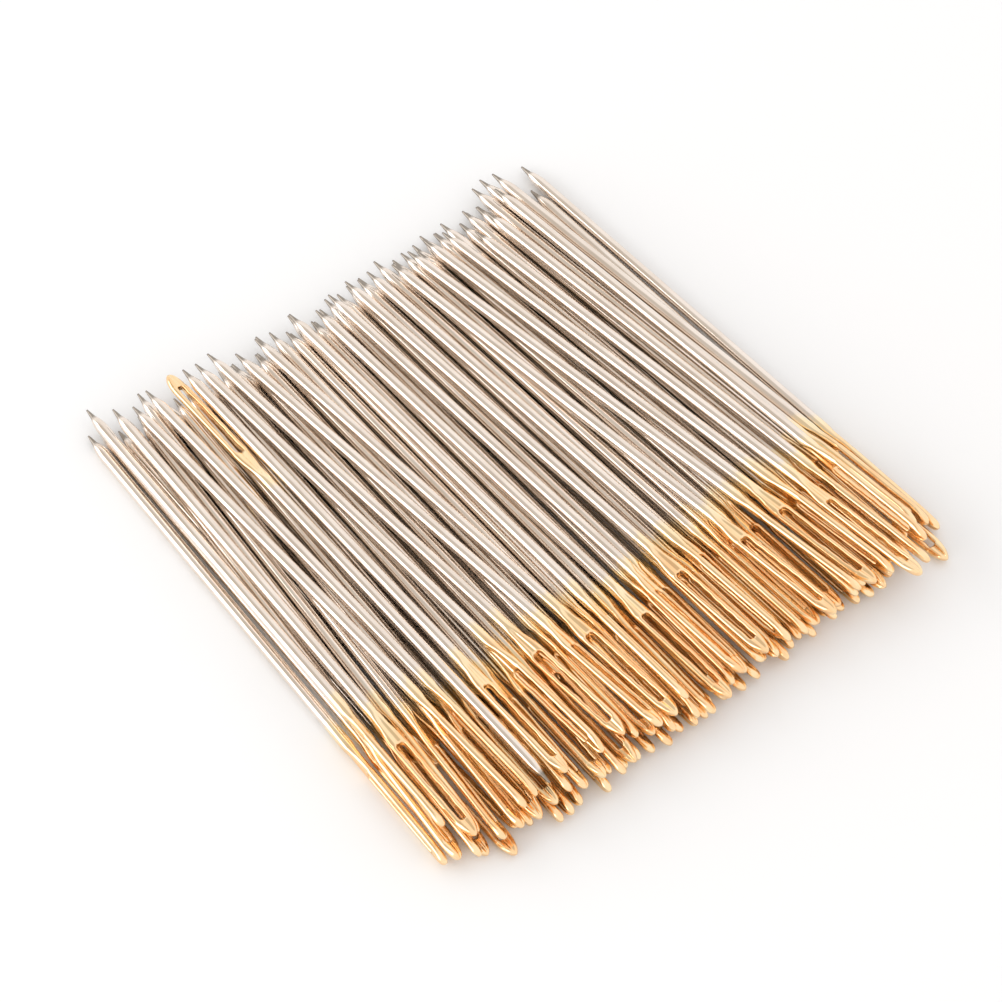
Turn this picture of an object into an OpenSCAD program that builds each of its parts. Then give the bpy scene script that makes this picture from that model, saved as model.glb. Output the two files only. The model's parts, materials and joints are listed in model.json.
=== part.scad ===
// A loose heap of about a hundred gold eye tapestry needles, fanned out with the points together.
// Millimetres. X runs along the row, Y towards the points and Z up. The table is at Z = 0.
// A needle is drawn along Z from the outer end of its eye, then laid in the heap.

/* [Shaft] */
// Length of a needle over all
needle_l = 37; // [34:0.5:45]
// Diameter of the shaft
shaft_d = 0.75; // [0.6:0.05:0.9]
// Length of the tapered shoulder of the point
point_l = 1.1; // [0.6:0.05:2.5]
// Length of the fine nib that the grinding leaves
nib_l = 0.7; // [0.3:0.05:1]
// Diameter of the nib where the shoulder ends
nib_d = 0.32; // [0.2:0.02:0.4]
// Diameter of the blunt end of the nib
nib_end_d = 0.12; // [0.08:0.01:0.16]
// Length of the gold plating, from the outer end of the eye
plating_l = 10.8; // [10.4:0.1:14]

/* [Eye] */
// Width of the eye
eye_w = 1.1; // [0.95:0.01:1.2]
// Thickness of the flattened eye
eye_t = 0.52; // [0.42:0.01:0.56]
// Thickness of the eye along its outer edges
eye_edge_t = 0.34; // [0.2:0.01:0.4]
// Length of the rounded outer end of the eye
eye_round_l = 1.15; // [0.7:0.05:1.4]
// Metal left beyond the outer end of the slot
slot_margin = 1.2; // [0.9:0.05:1.4]
// Length of the slot
slot_l = 6.3; // [5:0.1:6.6]
// Width of the slot at its outer end
slot_end_w = 0.34; // [0.28:0.01:0.4]
// Width of the slot at the throat
slot_w = 0.54; // [0.44:0.01:0.6]
// Length over which the eye narrows into the shaft
throat_l = 2.6; // [1.8:0.1:2.8]
// Width of the stamped guide groove on each face of the throat
guide_w = 0.3; // [0.2:0.01:0.36]
// Depth of the guide groove where it meets the slot
guide_deep = 0.1; // [0.08:0.01:0.14]

/* [Heap] */
// Needles in the bottom layer, which lie on the table
bottom_count = 41; // [38:1:44]
// Needles in the middle layer
middle_count = 36; // [34:1:38]
// Clearance between needles that lie against each other
gap = 0.035; // [0.02:0.005:0.05]
// Spare room between neighbours at the points
point_room = 0.05; // [0.03:0.01:0.1]
// Most that a needle of the lower layers lies ahead of its neighbours or behind them
scatter = 0.8; // [0:0.1:1.2]
// How far the middle of the heap lies behind the outermost needles
bow = 1.4; // [0:0.1:2]
// Seed of the scatter and of the rolls
seed = 51; // [1:1:99]

/* [Hidden] */
// Each top needle: where it crosses the heap at the points and at the eyes, as shares of its width,
// how far it lies ahead of the outermost needles, and its roll in degrees, where 0 shows the slot
TOP = [
    [0.022, 0.020, 1.2, 72],
    [0.052, 0.052, -0.3, 0],
    [0.086, 0.123, -0.9, 70],
    [0.124, 0.155, -0.5, 84],
    [0.205, 0.220, -0.5, 15],
    [0.232, 0.278, -0.6, -68],
    [0.264, 0.321, -0.4, -22],
    [0.302, 0.368, -1.4, 32],
    [0.349, 0.405, -1.3, -5],
    [0.432, 0.446, -1.1, 58],
    [0.469, 0.503, -2.1, 8],
    [0.514, 0.545, -1.4, 34],
    [0.557, 0.597, -1.2, -5],
    [0.602, 0.639, -1.4, 78],
    [0.646, 0.710, -1.8, 4],
    [0.688, 0.764, -1.5, 62],
    [0.725, 0.798, -1.5, -2],
    [0.764, 0.831, -1.7, 90],
    [0.808, 0.860, -3, 12],
    [0.854, 0.899, -2.3, 70],
    [0.905, 0.928, -1.2, -80]
];
// The needle that lies the other way round, given in the same way
TURNED = [0.175, 0.190, -0.3, -16];
// Rolls of the bottom needles, between which their slots don't show the table from the front left
CLOSED_ROLLS = [35, 115];
// The outermost needles of the bottom layer, from the outside in: roll, and how far ahead
LEFT_EDGE = [[84, 0], [24, 0.6], [4, -0.4], [-8, -1.2]];
RIGHT_EDGE = [[82, 0], [-18, -1.6], [62, 0.2]];
// Needles to a node
bottom_group = 4;
middle_group = 2;
// Distance between the places where a needle is tested against those below it
test_step = 1;
// Power of the curve of the shoulder: 1 is a cone, and more is rounder
point_bulge = 1.9;
// Angle between the directions in which two sections are tested
test_angle = 4;
nickel = [0.80, 0.79, 0.77];
gold = [0.90, 0.70, 0.36];
$fn = 48;

shaft_r = shaft_d / 2;
slot_end = slot_margin + slot_l;
eye_l = slot_end + throat_l;
// The widest blade of its thickness that the round of the shaft hides
neck_w = 2 * sqrt(pow(shaft_r, 2) - pow(eye_t / 2, 2));
// Half the thickness of the shaft's flattened end, which the blade hides
tuck = eye_t / 4;
edge_arc_r = (pow(eye_w, 2) + pow(eye_t - eye_edge_t, 2)) / (4 * (eye_t - eye_edge_t));
shoulder = needle_l - nib_l - point_l;
// Where neighbours in a layer are spaced: at the throats and behind the points
eye_line = eye_l - 0.5;
point_line = shoulder;
// Reach in which a needle below can touch the one above
reach = eye_w + shaft_d;

// Half the width of the eye at a distance from its outer end
function half_w(u) =
    u >= eye_l ? neck_w / 2
    : u > slot_end ? neck_w / 2 + (eye_w - neck_w) / 4 * (1 + cos(180 * (u - slot_end) / throat_l))
    : u > eye_round_l ? eye_w / 2
    : eye_w / 2 * sqrt(max(0, 1 - pow(1 - u / eye_round_l, 2)));

// Radius of the round part of the needle at a distance from the outer end of the eye
function round_r(u) =
    u < shoulder ? shaft_r
    : nib_d / 2 + (shaft_r - nib_d / 2) * max(0, 1 - pow(max(0, u - shoulder) / point_l, point_bulge));

// How far the end of the shaft reaches in a direction, between the two faces that flatten it
function throat_reach(u, angle) =
    let (half_t = tuck + (shaft_r - tuck) * (u - slot_end) / throat_l, up = abs(sin(angle)))
    u < slot_end ? 0
    : shaft_r * up <= half_t ? shaft_r
    : sqrt(pow(shaft_r, 2) - pow(half_t, 2)) * abs(cos(angle)) + half_t * up;

// How far the flattened section reaches in a direction, with 0 along its width
function flat_reach(u, angle) =
    let (w = half_w(u), across = abs(cos(angle)), up = abs(sin(angle)))
    edge_arc_r * across <= w ? edge_arc_r - (edge_arc_r - eye_t / 2) * up
    : w * across + (sqrt(pow(edge_arc_r, 2) - w * w) - edge_arc_r + eye_t / 2) * up;

// How far the needle's section reaches in a direction
function section_reach(u, angle) =
    u > eye_l ? round_r(u) : max(throat_reach(u, angle), flat_reach(u, angle));

// Half the width that a needle takes in its row
function row_half(roll) = max(shaft_r, flat_reach(slot_end, roll));

// A laid needle is [place of its eye end, direction to its point, roll, 1 or -1 if it lies turned]
function at_y(n, y) = (y - n[0].y) / n[1].y;
function station(n, u) = n[0] + u * n[1];

// Least height of section a over section b, whose centres lie dx apart along the row
function height_over(a, ua, b, ub, dx) =
    let (both = round_r(ua) + round_r(ub) + gap)
    ua > eye_l && ub > eye_l ? (abs(dx) < both ? sqrt(both * both - dx * dx) : -needle_l)
    : min([for (t = [18:test_angle:162])
        (section_reach(ua, t + a[3] * a[2]) + section_reach(ub, t + b[3] * b[2]) + gap - dx * cos(t)) / sin(t)]);

// Height that a needle needs at one station, over the table and over the needles below
function needed(n, u, below) =
    let (p = station(n, u))
    max(concat([section_reach(u, 90 + n[3] * n[2])],
        [for (b = below) let (v = at_y(b, p.y)) if (v > 0 && v < needle_l)
            let (q = station(b, v)) if (abs(p.x - q.x) < reach)
                q.z + height_over(n, u, b, v, p.x - q.x)]));

function near(n, below) =
    [for (b = below) if (min(abs(station(n, 0).x - station(b, at_y(b, station(n, 0).y)).x),
        abs(station(n, needle_l).x - station(b, at_y(b, station(n, needle_l).y)).x)) < 3 * reach) b];

// A needle comes to rest on two supports, one each side of its middle: the pair that holds it highest
function settle(n, below) =
    let (
        us = concat([eye_round_l, slot_end, eye_l, shoulder], [for (u = [test_step / 3:test_step:shoulder]) u]),
        close = near(n, below),
        need = [for (u = us) needed(n, u, close)],
        mid = needle_l / 2,
        eye_side = [for (k = [0:len(us) - 1]) if (us[k] < mid) [us[k] - mid, need[k]]],
        point_side = [for (k = [0:len(us) - 1]) if (us[k] >= mid) [us[k] - mid, need[k]]],
        height = max([for (a = eye_side, b = point_side) (b[0] * a[1] - a[0] * b[1]) / (b[0] - a[0])]),
        least = max([for (b = point_side) if (b[0] > 0) (b[1] - height) / b[0]]),
        most = min([for (a = eye_side) (a[1] - height) / a[0]]),
        tilt = (least + most) / 2,
        d = [n[1].x, n[1].y, tilt * norm(n[1])]
    )
    [[n[0].x, n[0].y, height - tilt * mid], d / norm(d), n[2], n[3]];

// A needle through two points of the row, ahead of the others by a distance
function lay(x_point, x_eye, ahead, roll, way = 1) =
    let (
        slope = (x_point - x_eye) / (point_line - eye_line),
        d = [slope, 1, 0] / norm([slope, 1, 0]),
        eye_end = [x_eye - slope * eye_line, ahead, 0] + slope * ahead * [1, 0, 0]
    )
    way > 0 ? [eye_end, d, roll, 1] : [eye_end + needle_l * d, -d, roll, -1];

function running_sum(v, k = 0, total = 0, done = []) =
    k == len(v) ? done : running_sum(v, k + 1, total + v[k], concat(done, [total + v[k]]));

// How far the heap's line lies back at a share of its width
function set_back(share) = bow * (1 - pow(2 * share - 1, 4));

// A row of needles side by side: those with an open eye take more room at the eye line.
// The outermost ones have rolls and places of their own, and the rest are drawn.
function row(count, draw, least_roll, most_roll, left_edge = [], right_edge = []) =
    let (
        drawn_rolls = rands(least_roll, most_roll, count, seed + draw),
        drawn_shifts = scatter * rands(-1, 1, count, seed + draw + 1),
        set = [for (i = [0:count - 1]) let (back = count - 1 - i)
            i < len(left_edge) ? left_edge[i]
            : back < len(right_edge) ? right_edge[back]
            : [drawn_rolls[i], drawn_shifts[i]]],
        rolls = [for (s = set) s[0]],
        shifts = [for (s = set) s[1]],
        steps = [for (i = [0:count - 1]) i == 0 ? 0 : row_half(rolls[i - 1]) + row_half(rolls[i]) + gap],
        eyes = running_sum(steps),
        point_step = shaft_d + gap + point_room
    )
    [for (i = [0:count - 1])
        lay((i - (count - 1) / 2) * point_step, eyes[i] - eyes[count - 1] / 2,
            shifts[i] - set_back(i / (count - 1)), rolls[i])];

bottom_row = [for (n = row(bottom_count, 0, CLOSED_ROLLS[0], CLOSED_ROLLS[1], LEFT_EDGE, RIGHT_EDGE))
    settle(n, [])];
middle_row = [for (n = row(middle_count, 2, -90, 90)) settle(n, bottom_row)];
left = bottom_row[0];
right = bottom_row[bottom_count - 1];
function across(share, u) =
    station(left, u).x * (1 - share) + station(right, u).x * share;
top_laid = [for (t = concat(TOP, [TURNED]))
    lay(across(t[0], point_line), across(t[1], eye_line), t[2], t[3], t == TURNED ? -1 : 1)];
function stack(laid, below, done = []) =
    len(done) == len(laid) ? done
    : stack(laid, below, concat(done, [settle(laid[len(done)], concat(below, done))]));
top_row = stack(top_laid, concat(bottom_row, middle_row));

// The middle of the heap on the table, which is the model's origin
heap = concat(bottom_row, middle_row, top_row);
sides = [for (n = heap, u = [eye_round_l, slot_end, needle_l], side = [-1, 1])
    station(n, u).x + side * section_reach(u, n[2])];
tips = [for (n = heap, u = [0, needle_l]) station(n, u).y];
middle = [max(sides) + min(sides), max(tips) + min(tips), 0] / 2;

bottom_nodes = ceil(bottom_count / bottom_group);
middle_nodes = ceil(middle_count / middle_group);
function numbered(name, k) = str(name, "_", k < 10 ? "0" : "", k);
BOTTOM_NODES = [for (k = [1:bottom_nodes]) numbered("bottom_needles", k)];
MIDDLE_NODES = [for (k = [1:middle_nodes]) numbered("middle_needles", k)];
TOP_NODES = [for (k = [1:len(TOP)]) numbered("top_needle", k)];

// The nickel shaft with its shoulder and nib
module shaft() {
    color(nickel) rotate_extrude()
        polygon(concat(
            [[0, plating_l], [shaft_r, plating_l]],
            [for (t = [0:0.2:1]) [round_r(shoulder + t * point_l), shoulder + t * point_l]],
            [[nib_end_d / 2, needle_l], [0, needle_l]]));
}

// The plated end of the shaft, flattened on two sides down to the eye
module plated_shaft() {
    color(gold) intersection() {
        translate([0, 0, slot_end]) cylinder(r = shaft_r, h = plating_l - slot_end);
        rotate([90, 0, 90]) linear_extrude(2 * shaft_d, center = true)
            polygon([
                [-tuck, slot_end], [tuck, slot_end],
                [shaft_r, eye_l], [shaft_d, plating_l], [-shaft_d, plating_l], [-shaft_r, eye_l]
            ]);
    }
}

// The outline of the eye seen through the slot
module eye_outline() {
    ends = [for (t = [0:15:90]) eye_round_l * (1 - cos(t))];
    throat = [for (t = [0:0.2:1]) slot_end + t * throat_l];
    us = concat(ends, throat);
    polygon(concat(
        [for (u = us) [half_w(u), u]],
        [for (k = [len(us) - 1:-1:1]) [-half_w(us[k]), us[k]]]));
}

// The flattened eye, thinner towards its edges
module eye_blade() {
    color(gold) intersection() {
        rotate([90, 0, 0]) linear_extrude(eye_t, center = true) eye_outline();
        blade_face(-1);
        blade_face(1);
    }
}

module blade_face(side) {
    translate([0, side * (eye_t / 2 - edge_arc_r), -1]) cylinder(r = edge_arc_r, h = eye_l + 2, $fn = 96);
}

// The long slot with round ends, which widens towards the throat
module slot() {
    low = slot_margin + slot_end_w / 2;
    high = slot_end - slot_w / 2;
    translate([0, 0, low]) rotate([90, 0, 0]) cylinder(d = slot_end_w, h = 2 * shaft_d, center = true);
    translate([0, 0, high]) rotate([90, 0, 0]) cylinder(d = slot_w, h = 2 * shaft_d, center = true);
    rotate([90, 0, 0]) linear_extrude(2 * shaft_d, center = true)
        polygon([[-slot_end_w / 2, low], [slot_end_w / 2, low], [slot_w / 2, high], [-slot_w / 2, high]]);
}

// The groove that leads a thread along the throat into the slot, on both faces
module guides() {
    lean = atan((shaft_r - eye_t / 2 + guide_deep) / throat_l);
    for (turn = [0, 180]) {
        rotate([0, 0, turn]) translate([0, eye_t / 2 - guide_deep, slot_end]) rotate([-lean, 0, 0])
            translate([-guide_w / 2, 0, -slot_w / 2]) cube([guide_w, shaft_d, throat_l + slot_w]);
    }
}

module needle() {
    difference() {
        union() {
            shaft();
            plated_shaft();
            eye_blade();
        }
        slot();
        guides();
    }
}

// Puts a needle where its row lays it
module laid(n) {
    translate(n[0] - middle) rotate([asin(n[1].z), 0, atan2(-n[1].x, n[1].y)]) rotate([0, n[2], 0])
        rotate([-90, 0, 0]) needle();
}

module group(needles, size, k) {
    for (i = [k * size:min(len(needles), (k + 1) * size) - 1]) {
        laid(needles[i]);
    }
}

for (k = [0:bottom_nodes - 1]) {
    group(bottom_row, bottom_group, k);
}
for (k = [0:middle_nodes - 1]) {
    group(middle_row, middle_group, k);
}
for (k = [0:len(TOP) - 1]) {
    laid(top_row[k]);
}
laid(top_row[len(TOP)]);  // turned_needle
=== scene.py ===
"""The looks of a heap of gold eye tapestry needles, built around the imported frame.

Every needle is modelled once more, finer than in CAD, and laid where its CAD solid lies.
A needle's own coordinates are millimetres: x across the eye, y through it and z along the needle
from the outer end of the eye. The scene is in metres, in the frame's own axes.
"""
import json
import math
import bpy
import numpy as np
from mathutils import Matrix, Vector

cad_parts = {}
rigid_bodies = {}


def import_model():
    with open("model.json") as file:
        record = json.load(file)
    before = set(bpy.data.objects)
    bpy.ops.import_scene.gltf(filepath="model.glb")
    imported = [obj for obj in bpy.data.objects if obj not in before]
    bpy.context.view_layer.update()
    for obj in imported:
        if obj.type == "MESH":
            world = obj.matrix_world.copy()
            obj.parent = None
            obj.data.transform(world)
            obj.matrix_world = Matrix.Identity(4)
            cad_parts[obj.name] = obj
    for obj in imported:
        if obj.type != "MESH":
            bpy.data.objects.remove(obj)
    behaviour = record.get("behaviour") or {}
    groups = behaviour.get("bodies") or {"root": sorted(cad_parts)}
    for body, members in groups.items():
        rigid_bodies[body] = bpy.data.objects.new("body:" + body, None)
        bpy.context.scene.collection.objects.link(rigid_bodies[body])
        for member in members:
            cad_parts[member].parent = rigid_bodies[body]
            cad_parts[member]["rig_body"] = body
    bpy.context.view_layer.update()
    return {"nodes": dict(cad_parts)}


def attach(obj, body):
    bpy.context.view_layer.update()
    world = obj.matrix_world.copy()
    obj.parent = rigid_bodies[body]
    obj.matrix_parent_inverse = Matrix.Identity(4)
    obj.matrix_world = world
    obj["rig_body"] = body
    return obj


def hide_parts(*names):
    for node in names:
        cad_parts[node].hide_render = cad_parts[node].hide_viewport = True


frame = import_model()

MM = 0.001

# The needle
NEEDLE_L = 37.0
SHAFT_R = 0.375
NIB_L = 0.7
NIB_R = 0.16
NIB_END_R = 0.06
POINT_L = 1.1
POINT_BULGE = 1.9
SHOULDER = NEEDLE_L - NIB_L - POINT_L
NIB_START = SHOULDER + POINT_L

# The eye
EYE_HALF_W = 0.55
EYE_HALF_T = 0.26
EYE_EDGE_HALF_T = 0.17
NECK_HALF_W = 0.27
SLOT_START = 1.2
SLOT_END = 7.5
SLOT_START_HALF_W = 0.17
SLOT_END_HALF_W = 0.27
THROAT_L = 2.6
EYE_L = SLOT_END + THROAT_L
FLAT_L = 1.0
LANCET_L = 1.65
LANCET_FALL = 2.2
LANCET_ROUND = 0.6
END_ROUND_L = 0.55
GROOVE_HALF_W = 0.15
GROOVE_DEEP = 0.075
GROOVE_L = 2.3
END_GROOVE_DEEP = 0.06
BAR_SQUARE = 2.4

# Points of a section: down one side from the middle of the top, and up the wall of the slot
SIDE_STEPS = 18
WALL_STEPS = 6
CORNER = math.pi * 3 / 4
SIDE_ANGLES = np.linspace(CORNER, -CORNER, SIDE_STEPS + 1)
WALL_ANGLES = np.linspace(-CORNER, CORNER - 2 * math.pi, WALL_STEPS + 2)[1:-1]

# Sections along the needle. Two distances closer than SAME_PLACE count as one.
ROUND_STEPS = 5
SLOT_STEPS = 29
THROAT_STEPS = 14
SHOULDER_STEPS = 8
BEFORE_SLOT = (0.7, 0.85, 1.0, 1.1)
AFTER_EYE = 0.05
ALONG_SHAFT = (12, 20, 28)
BEFORE_SHOULDER = (0.3, 0.1)
NIB_SHARES = (0.15, 0.5, 0.85, 1)
SAME_PLACE = 1e-6

# Reading a CAD needle: END_SLICE is its very end, and END_PIECE is enough to tell the eye from the nib
GRID = 0.001
END_SLICE = 0.02
END_PIECE = 1
AIM_ROUNDS = 3
EDGE_SHARE = 0.9

# How one needle differs from the next
SEED = 24
WAVE_MOST = 0.045
WAVE_LEAST_SHARE = 0.2
WAVE_RATES = (1.1, 2.7, 6.5)
WAVE_FADE = 0.3
PLATING_SPREAD = 1.3

# Platings and bare steel
NICKEL = (0.89, 0.80, 0.72, 1)
NICKEL_DULL = (0.81, 0.71, 0.62, 1)
GOLD = (1.0, 0.76, 0.46, 1)
GOLD_DEEP = (0.99, 0.62, 0.32, 1)
GOLD_PALE = (1.0, 0.83, 0.57, 1)
BARE_STEEL = (0.33, 0.29, 0.25, 1)
PLATING_L = 10.8
PALE_L = 2.5
EDGE_WANDER = 2.4
EDGE_SOFT = 0.5
BARE_BEFORE_NIB = 0.35
BARE_INTO_NIB = 0.05
CLOUDY_FROM = 0.35
CLOUDY_TO = 0.7

# Noise in the platings: periods per millimetre across, through and along the needle
SEED_SPREAD = 91.0
EDGE_STRETCH = (2.0, 2.0, 0.9)
CLOUD_STRETCH = (1.6, 1.6, 0.35)
SCRATCH_STRETCH = (9.0, 9.0, 0.35)
STREAK_STRETCH = (4.5, 4.5, 0.25)

# Roughness and relief
PLATED_ROUGH = 0.06
SCRATCH_ROUGH = 0.12
BARE_ROUGH = 0.25
NICKEL_STREAKS = 0.1
GILT_STREAKS = 0.9
BUMP_STRENGTH = 0.6
BUMP_DEPTH = 0.04 * MM

# The mix node's colour sockets by number, as they share their names with its other sockets
MIX_A = 6
MIX_B = 7
MIX_RESULT = 2

# The studio: the surround is dim within a cone of directions, whose edge is given by cosines
TABLE = (0.905, 0.908, 0.915, 1)
TABLE_SIZE = 2.0
TABLE_BELOW = 0.05 * MM
TABLE_ROUGH = 0.7
TABLE_SPECULAR = 0.2
SURROUND = (1.06, 1.045, 1.035, 1)
SURROUND_DIM = (0.68, 0.64, 0.59, 1)
DIM_TOWARDS = (-0.363, 0.454, 0.814)
DIM_FROM = 0.75
DIM_TO = 0.97
LAMP_PLACE = (-0.50, 0.25, 0.19)
LAMP_W = 0.9
LAMP_H = 0.42
LAMP_RADIANCE = 2.1

# The camera
TARGET = Vector((-0.6, -0.08, 1.0)) * MM
CAMERA_DISTANCE = 300 * MM
CAMERA_AZIMUTH = -38.64
CAMERA_ELEVATION = 54.5
SENSOR_MM = 36
LENS_MM = 182.39
CLIP_START = 0.01
CLIP_END = 10


def smooth(x):
    """0 up to 0, 1 from 1, and an even turn between them."""
    x = np.clip(x, 0, 1)
    return x * x * (3 - 2 * x)


def eye_half_width(u):
    """Half the width of the eye, which ends in a lancet and narrows into the shaft."""
    if u > SLOT_END:
        ramp = (1 + math.cos(math.pi * min(1, (u - SLOT_END) / THROAT_L))) / 2
        return max(SHAFT_R, NECK_HALF_W + (EYE_HALF_W - NECK_HALF_W) * ramp)
    if u < LANCET_L:
        return EYE_HALF_W * (1 - (1 - u / LANCET_L) ** LANCET_FALL) ** LANCET_ROUND
    return EYE_HALF_W


def half_thickness(u):
    """Half the thickness of the needle at the middle of its width."""
    if u < END_ROUND_L:
        return EYE_HALF_T * math.sqrt(max(0, 1 - (1 - u / END_ROUND_L) ** 2))
    return EYE_HALF_T + (SHAFT_R - EYE_HALF_T) * smooth((u - EYE_L + FLAT_L) / FLAT_L)


def round_radius(u):
    """Radius of the shaft, its shoulder and its nib."""
    if u < SHOULDER:
        return SHAFT_R
    if u < NIB_START:
        return NIB_R + (SHAFT_R - NIB_R) * (1 - ((u - SHOULDER) / POINT_L) ** POINT_BULGE)
    return NIB_R + (NIB_END_R - NIB_R) * (u - SHOULDER - POINT_L) / NIB_L


def slot_half_width(u, wave):
    """Half the width of the slot, which widens towards the throat, with its uneven punched edge."""
    low = SLOT_START + SLOT_START_HALF_W
    high = SLOT_END - SLOT_END_HALF_W
    if u < low:
        return math.sqrt(max(0, SLOT_START_HALF_W ** 2 - (low - u) ** 2))
    if u > high:
        return math.sqrt(max(0, SLOT_END_HALF_W ** 2 - (u - high) ** 2))
    half = SLOT_START_HALF_W + (SLOT_END_HALF_W - SLOT_START_HALF_W) * (u - low) / (high - low)
    return half + wave(u) * smooth(min(u - low, high - u) / WAVE_FADE)


def bar_side(half_w, half_t, inner, angles):
    """Points of one bar of the eye, a rounded oblong that is thinner at the outer edge."""
    middle = (half_w + inner) / 2
    c = np.cos(angles)
    s = np.sin(angles)
    x = middle + (half_w - inner) / 2 * np.sign(c) * np.abs(c) ** (2 / BAR_SQUARE)
    thin = half_t * (1 - (1 - EYE_EDGE_HALF_T / EYE_HALF_T) * (x / EYE_HALF_W) ** 2)
    return x, thin * np.sign(s) * np.abs(s) ** (2 / BAR_SQUARE)


def groove_depth(u):
    """Depth of the stamped groove that leads into the slot from both its ends."""
    if u >= SLOT_END:
        return GROOVE_DEEP * (1 - smooth((u - SLOT_END) / GROOVE_L))
    return END_GROOVE_DEEP * smooth((u - END_ROUND_L) / (SLOT_START - END_ROUND_L))


def solid_side(u):
    """One side of a section without a slot: x and y from the middle of the top to that below."""
    turn = np.linspace(0, math.pi, SIDE_STEPS + 1)
    r = round_radius(u)
    if u > EYE_L:
        return r * np.sin(turn), r * np.cos(turn)
    x, y = bar_side(eye_half_width(u), half_thickness(u), 0, SIDE_ANGLES)
    x[0] = x[-1] = 0
    flat = 1 - smooth((u - EYE_L + FLAT_L) / FLAT_L)
    x = flat * x + (1 - flat) * SHAFT_R * np.sin(turn)
    y = flat * y + (1 - flat) * SHAFT_R * np.cos(turn)
    near_middle = np.clip(1 - x / GROOVE_HALF_W, 0, 1)
    return x, y * (1 - near_middle * groove_depth(u) / SHAFT_R)


def stations():
    """Distances along the needle at which it has a section, closer where its shape turns."""
    turns = np.radians(np.linspace(0, 90, ROUND_STEPS + 1))
    end = END_ROUND_L * (1 - np.cos(turns[1:]))
    slot_low = SLOT_START + SLOT_START_HALF_W * (1 - np.cos(turns))
    slot_high = SLOT_END - SLOT_END_HALF_W * (1 - np.cos(turns[::-1]))
    slot_middle = np.linspace(slot_low[-1], slot_high[0], SLOT_STEPS + 1)[1:-1]
    throat = SLOT_END + np.linspace(0, THROAT_L, THROAT_STEPS + 1)[1:]
    shaft = [EYE_L + AFTER_EYE, *ALONG_SHAFT, *(SHOULDER - before for before in BEFORE_SHOULDER)]
    shoulder = SHOULDER + POINT_L * np.linspace(0, 1, SHOULDER_STEPS + 1)
    nib = NIB_START + NIB_L * np.array(NIB_SHARES)
    return np.concatenate([end, BEFORE_SLOT, slot_low, slot_middle, slot_high, throat, shaft, shoulder, nib])


def needle_mesh(right_wave, left_wave):
    """The needle's points and faces, as one closed skin."""
    points = []
    faces = []

    def row(xs, ys, u):
        """New points of the section at u, as a list of their numbers."""
        first = len(points)
        points.extend((x, y, u) for x, y in zip(xs, ys))
        return list(range(first, len(points)))

    def bar(side, wave, u):
        """One bar beside the slot: its outer points, and the wall of the slot from below to above."""
        inner = slot_half_width(u, wave)
        x, y = bar_side(eye_half_width(u), half_thickness(u), inner, SIDE_ANGLES)
        outer = row(side * x, y, u)
        x, y = bar_side(eye_half_width(u), half_thickness(u), inner, WALL_ANGLES)
        return outer, [outer[-1]] + row(side * x, y, u) + [outer[0]]

    def strip(a, b):
        """A strip of faces between two rows of points."""
        faces.extend(zip(a, b, b[1:], a[1:]))

    def rim_edges(section):
        """The edges around a section without a slot."""
        rim = section[0][:-1] + section[1][:0:-1]
        return zip(rim, rim[1:] + rim[:1])

    us = stations()
    points.append((0, 0, 0))
    last = None
    for u in us:
        in_slot = SLOT_START < u - SAME_PLACE and u + SAME_PLACE < SLOT_END
        right_wall = None
        left_wall = None
        if in_slot:
            right, right_wall = bar(1, right_wave, u)
            left, left_wall = bar(-1, left_wave, u)
        else:
            x, y = solid_side(u)
            right = row(x, y, u)
            left = [right[0]] + row(-x[1:-1], y[1:-1], u) + [right[-1]]
            if min(abs(u - SLOT_START), abs(u - SLOT_END)) < SAME_PLACE:
                heights = np.linspace(y[-1], y[0], WALL_STEPS + 2)[1:-1]
                right_wall = [right[-1]] + row(heights * 0, heights, u) + [right[0]]
                left_wall = right_wall
        if last is None:
            faces.extend((0, a, b) for a, b in rim_edges((right, left)))
        else:
            was_right, was_left, was_right_wall, was_left_wall, was_in_slot = last
            strip(was_right, right)
            strip(left, was_left)
            if was_in_slot or in_slot:
                strip(was_right_wall, right_wall)
                strip(left_wall, was_left_wall)
        last = (right, left, right_wall, left_wall, in_slot)
    end = len(points)
    points.append((0, 0, us[-1]))
    faces.extend((end, b, a) for a, b in rim_edges(last))
    return np.array(points, float), faces


def islands(mesh):
    """The separate solids of a mesh, each as an array of its points in millimetres."""
    co = np.array([v.co for v in mesh.vertices], float)
    keys, first = np.unique(np.round(co / (GRID * MM)).astype(np.int64), axis=0, return_inverse=True)
    first = first.ravel()
    parent = list(range(len(keys)))

    def root(i):
        while parent[i] != i:
            parent[i] = parent[parent[i]]
            i = parent[i]
        return i

    for edge in mesh.edges:
        a = root(first[edge.vertices[0]])
        b = root(first[edge.vertices[1]])
        parent[a] = b
    owner = np.array([root(i) for i in range(len(keys))])
    return [keys[owner == o] * GRID for o in np.unique(owner)]


def distances(off, along):
    """How far points lie along an axis through the origin, and their offsets from it."""
    t = off @ along
    return t, off - np.outer(t, along)


def square_to(width, along):
    """A width axis turned until it is square to the needle's own axis."""
    width = width - along * (width @ along)
    return width / np.linalg.norm(width)


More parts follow.
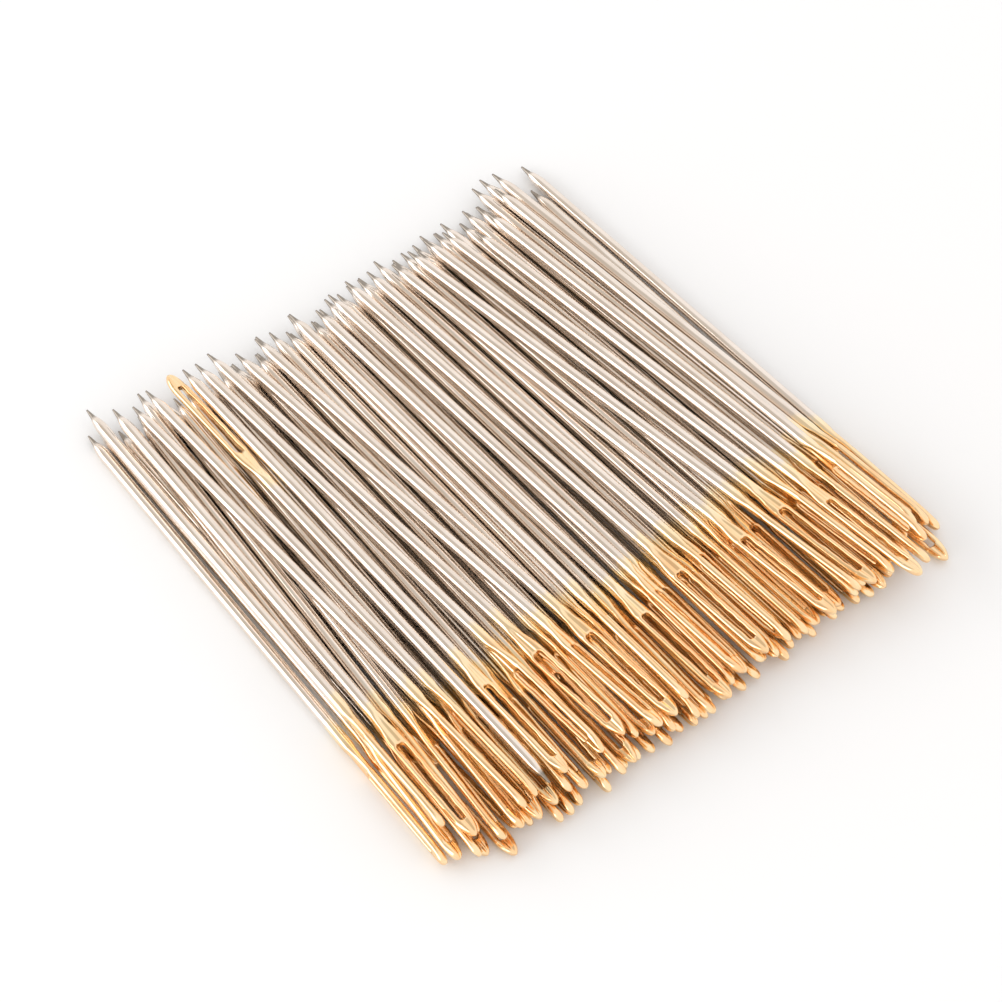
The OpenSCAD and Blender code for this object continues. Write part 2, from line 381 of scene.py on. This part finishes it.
def place_of(cloud):
    """Where a CAD needle lies, in millimetres: its outer eye end and its x, y and z axes."""
    a = cloud[np.argmax(np.linalg.norm(cloud - cloud.mean(0), axis=1))]
    b = cloud[np.argmax(np.linalg.norm(cloud - a, axis=1))]
    along = (b - a) / np.linalg.norm(b - a)
    for _ in range(AIM_ROUNDS):
        t = cloud @ along
        low = cloud[t < t.min() + END_SLICE].mean(0)
        high = cloud[t > t.max() - END_SLICE].mean(0)
        along = (high - low) / np.linalg.norm(high - low)
    t, across = distances(cloud - low, along)
    away = np.linalg.norm(across, axis=1)
    # The eye's end piece is wider than the nib's.
    if away[t > t.max() - END_PIECE].max() > away[t < END_PIECE].max():
        along = -along
        low = high
        t, across = distances(cloud - low, along)
    across = across[t < EYE_L]
    away = np.linalg.norm(across, axis=1)
    edges = across[away > EDGE_SHARE * away.max()]
    width = square_to(np.linalg.svd(edges.T @ edges)[0][:, 0], along)

    # The mean above leans to the face with more corners, so the start goes midway between the faces.
    through = np.cross(along, width)
    heights = ((cloud - low) @ through)[t < END_PIECE]
    nib = low + t.max() * along
    start = low + t.min() * along + (heights.max() + heights.min()) / 2 * through
    along = (nib - start) / np.linalg.norm(nib - start)
    width = square_to(width, along)
    return start, width, np.cross(along, width), along


def waves(draw):
    """An uneven edge: a few waves of one needle's own."""
    sizes = draw.uniform(WAVE_LEAST_SHARE, 1, len(WAVE_RATES)) * WAVE_MOST / 2
    starts = draw.uniform(0, 2 * math.pi, len(WAVE_RATES))
    rates = np.array(WAVE_RATES)
    return lambda u: float((sizes * np.sin(rates * u + starts)).sum())


def set_attribute(mesh, name, kind, values):
    """Give every point of a mesh a number or a vector that its material can read."""
    made = mesh.attributes.new(name, kind, "POINT")
    field = "vector" if kind == "FLOAT_VECTOR" else "value"
    made.data.foreach_set(field, np.asarray(values, np.float32).ravel())


def dress(node, material, draw):
    """The fine needles that stand for one CAD node, as one piece on the node's body."""
    points = []
    faces = []
    own = []
    number = []
    for cloud in islands(frame["nodes"][node].data):
        start, x, y, z = place_of(cloud)
        local, skin = needle_mesh(waves(draw), waves(draw))
        base = sum(len(p) for p in points)
        points.append(start + local @ np.array([x, y, z]))
        faces.extend([tuple(base + i for i in face) for face in skin])
        own.append(local)
        number.append(np.full(len(local), draw.uniform()))
    mesh = bpy.data.meshes.new(node + "_fine")
    mesh.from_pydata((np.concatenate(points) * MM).tolist(), [], faces)
    mesh.polygons.foreach_set("use_smooth", [True] * len(mesh.polygons))
    set_attribute(mesh, "own_place", "FLOAT_VECTOR", np.concatenate(own))
    set_attribute(mesh, "needle", "FLOAT", np.concatenate(number))
    mesh.materials.append(material)
    piece = bpy.data.objects.new(node + "_fine", mesh)
    bpy.context.scene.collection.objects.link(piece)
    body = frame["nodes"][node]["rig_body"]
    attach(piece, body)
    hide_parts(node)


def feed(tree, socket, value):
    """Give a socket a fixed value, or link another node's output to it."""
    if isinstance(value, bpy.types.NodeSocket):
        tree.links.new(value, socket)
    else:
        socket.default_value = value


def node_of(tree, kind, **inputs):
    """A shader node with its named inputs fed."""
    made = tree.nodes.new(kind)
    for name, value in inputs.items():
        feed(tree, made.inputs[name.replace("_", " ")], value)
    return made


def math_node(tree, kind, operation, *values):
    """A scalar or vector maths node with its inputs fed in order."""
    made = tree.nodes.new(kind)
    made.operation = operation
    for socket, value in zip(made.inputs, values):
        feed(tree, socket, value)
    return made


def multiply(tree, a, b):
    return math_node(tree, "ShaderNodeMath", "MULTIPLY", a, b).outputs[0]


def multiply_add(tree, a, b, c):
    return math_node(tree, "ShaderNodeMath", "MULTIPLY_ADD", a, b, c).outputs[0]


def ramp_node(tree, value, low, high, to_low=0.0, to_high=1.0):
    """A smooth change from one value to another while the input goes from low to high."""
    made = node_of(tree, "ShaderNodeMapRange", Value=value)
    made.interpolation_type = "SMOOTHSTEP"
    made.inputs["From Min"].default_value = low
    made.inputs["From Max"].default_value = high
    made.inputs["To Min"].default_value = to_low
    made.inputs["To Max"].default_value = to_high
    return made.outputs["Result"]


def mix_colours(tree, share, a, b):
    """Colour a where the share is 0, and colour b where it is 1."""
    made = tree.nodes.new("ShaderNodeMix")
    made.data_type = "RGBA"
    feed(tree, made.inputs["Factor"], share)
    feed(tree, made.inputs[MIX_A], a)
    feed(tree, made.inputs[MIX_B], b)
    return made.outputs[MIX_RESULT]


def noise(tree, place, seed, stretch, detail=2.0):
    """Noise in a needle's own coordinates, with its own draw for each needle."""
    scaled = math_node(tree, "ShaderNodeVectorMath", "MULTIPLY", place, stretch).outputs[0]
    made = tree.nodes.new("ShaderNodeTexNoise")
    made.noise_dimensions = "4D"
    feed(tree, made.inputs["Vector"], scaled)
    feed(tree, made.inputs["W"], seed)
    feed(tree, made.inputs["Scale"], 1.0)
    feed(tree, made.inputs["Detail"], detail)
    return made.outputs["Fac"]


def attribute(tree, name):
    made = tree.nodes.new("ShaderNodeAttribute")
    made.attribute_name = name
    return made


def plated_steel():
    """Nickel plating with gold plating over the eye end, whose edge is soft and uneven."""
    material = bpy.data.materials.new("plated_steel_fine")
    material.use_nodes = True
    tree = material.node_tree
    shader = tree.nodes["Principled BSDF"]
    shader.inputs["Metallic"].default_value = 1.0
    place = attribute(tree, "own_place").outputs["Vector"]
    needle = attribute(tree, "needle").outputs["Fac"]
    seed = multiply(tree, needle, SEED_SPREAD)
    along = node_of(tree, "ShaderNodeSeparateXYZ", Vector=place).outputs["Z"]

    # Places along the needle are moved by noise and by the needle's own number, so that the gold ends
    # unevenly and at another place on each needle, at PLATING_L on average.
    moved = multiply_add(tree, noise(tree, place, seed, EDGE_STRETCH), -EDGE_WANDER, along)
    moved = multiply_add(tree, needle, -PLATING_SPREAD, moved)
    edge = PLATING_L - EDGE_WANDER / 2 - PLATING_SPREAD / 2
    gilt = ramp_node(tree, moved, edge - EDGE_SOFT, edge + EDGE_SOFT, 1.0, 0.0)

    cloud = noise(tree, place, seed, CLOUD_STRETCH, detail=4.0)
    cloudy = ramp_node(tree, cloud, CLOUDY_FROM, CLOUDY_TO)
    nickel = mix_colours(tree, cloudy, NICKEL, NICKEL_DULL)
    gold = mix_colours(tree, cloudy, GOLD, GOLD_DEEP)
    near_edge = ramp_node(tree, moved, edge - PALE_L, edge)
    gold = mix_colours(tree, near_edge, gold, GOLD_PALE)
    colour = mix_colours(tree, gilt, nickel, gold)
    bare = ramp_node(tree, along, NIB_START - BARE_BEFORE_NIB, NIB_START + BARE_INTO_NIB)
    colour = mix_colours(tree, bare, colour, BARE_STEEL)
    tree.links.new(colour, shader.inputs["Base Color"])

    scratches = noise(tree, place, seed, SCRATCH_STRETCH)
    rough = multiply_add(tree, scratches, SCRATCH_ROUGH, PLATED_ROUGH)
    rough = multiply_add(tree, bare, BARE_ROUGH, rough)
    tree.links.new(rough, shader.inputs["Roughness"])

    streaks = noise(tree, place, seed, STREAK_STRETCH, detail=1.0)
    deep = multiply_add(tree, gilt, GILT_STREAKS, NICKEL_STREAKS)
    bump = node_of(tree, "ShaderNodeBump", Height=multiply(tree, streaks, deep))
    bump.inputs["Strength"].default_value = BUMP_STRENGTH
    bump.inputs["Distance"].default_value = BUMP_DEPTH
    tree.links.new(bump.outputs["Normal"], shader.inputs["Normal"])
    return material


def softbox(name, place, width, height, radiance):
    """A soft lamp that faces the heap, of one radiance all over."""
    light = bpy.data.lights.new(name, "AREA")
    light.shape = "RECTANGLE"
    light.size = width
    light.size_y = height
    light.energy = radiance * math.pi * width * height
    lamp = bpy.data.objects.new(name, light)
    bpy.context.scene.collection.objects.link(lamp)
    lamp.location = place
    lamp.rotation_euler = (-lamp.location).to_track_quat("-Z", "Y").to_euler()


def studio():
    """A white table, a low soft light on the left, and a pale surround that is dimmer at the back left."""
    bpy.ops.mesh.primitive_plane_add(size=TABLE_SIZE, location=(0, 0, -TABLE_BELOW))
    table = bpy.context.object
    table.name = "table"
    white = bpy.data.materials.new("table_white")
    white.use_nodes = True
    shader = white.node_tree.nodes["Principled BSDF"]
    shader.inputs["Base Color"].default_value = TABLE
    shader.inputs["Roughness"].default_value = TABLE_ROUGH
    shader.inputs["Specular IOR Level"].default_value = TABLE_SPECULAR
    table.data.materials.append(white)

    world = bpy.data.worlds.new("studio")
    bpy.context.scene.world = world
    world.use_nodes = True
    tree = world.node_tree
    place = tree.nodes.new("ShaderNodeTexCoord").outputs["Generated"]
    near = math_node(tree, "ShaderNodeVectorMath", "DOT_PRODUCT", place, DIM_TOWARDS).outputs["Value"]
    dim = ramp_node(tree, near, DIM_FROM, DIM_TO)
    colour = mix_colours(tree, dim, SURROUND, SURROUND_DIM)
    tree.links.new(colour, tree.nodes["Background"].inputs["Color"])

    softbox("low_left", LAMP_PLACE, LAMP_W, LAMP_H, LAMP_RADIANCE)


def camera():
    """The camera, as solved from the photo."""
    data = bpy.data.cameras.new("camera")
    data.sensor_width = SENSOR_MM
    data.lens = LENS_MM
    data.clip_start = CLIP_START
    data.clip_end = CLIP_END
    made = bpy.data.objects.new("camera", data)
    bpy.context.scene.collection.objects.link(made)
    a = math.radians(CAMERA_AZIMUTH)
    e = math.radians(CAMERA_ELEVATION)
    back = Vector((math.sin(a) * math.cos(e), -math.cos(a) * math.cos(e), math.sin(e)))
    made.location = TARGET + back * CAMERA_DISTANCE
    made.rotation_euler = back.to_track_quat("Z", "Y").to_euler()
    bpy.context.scene.camera = made


camera()
studio()
bpy.context.scene.view_settings.view_transform = "Standard"
plating = plated_steel()
drawn = np.random.default_rng(SEED)
for name in sorted(frame["nodes"]):
    dress(name, plating, drawn)
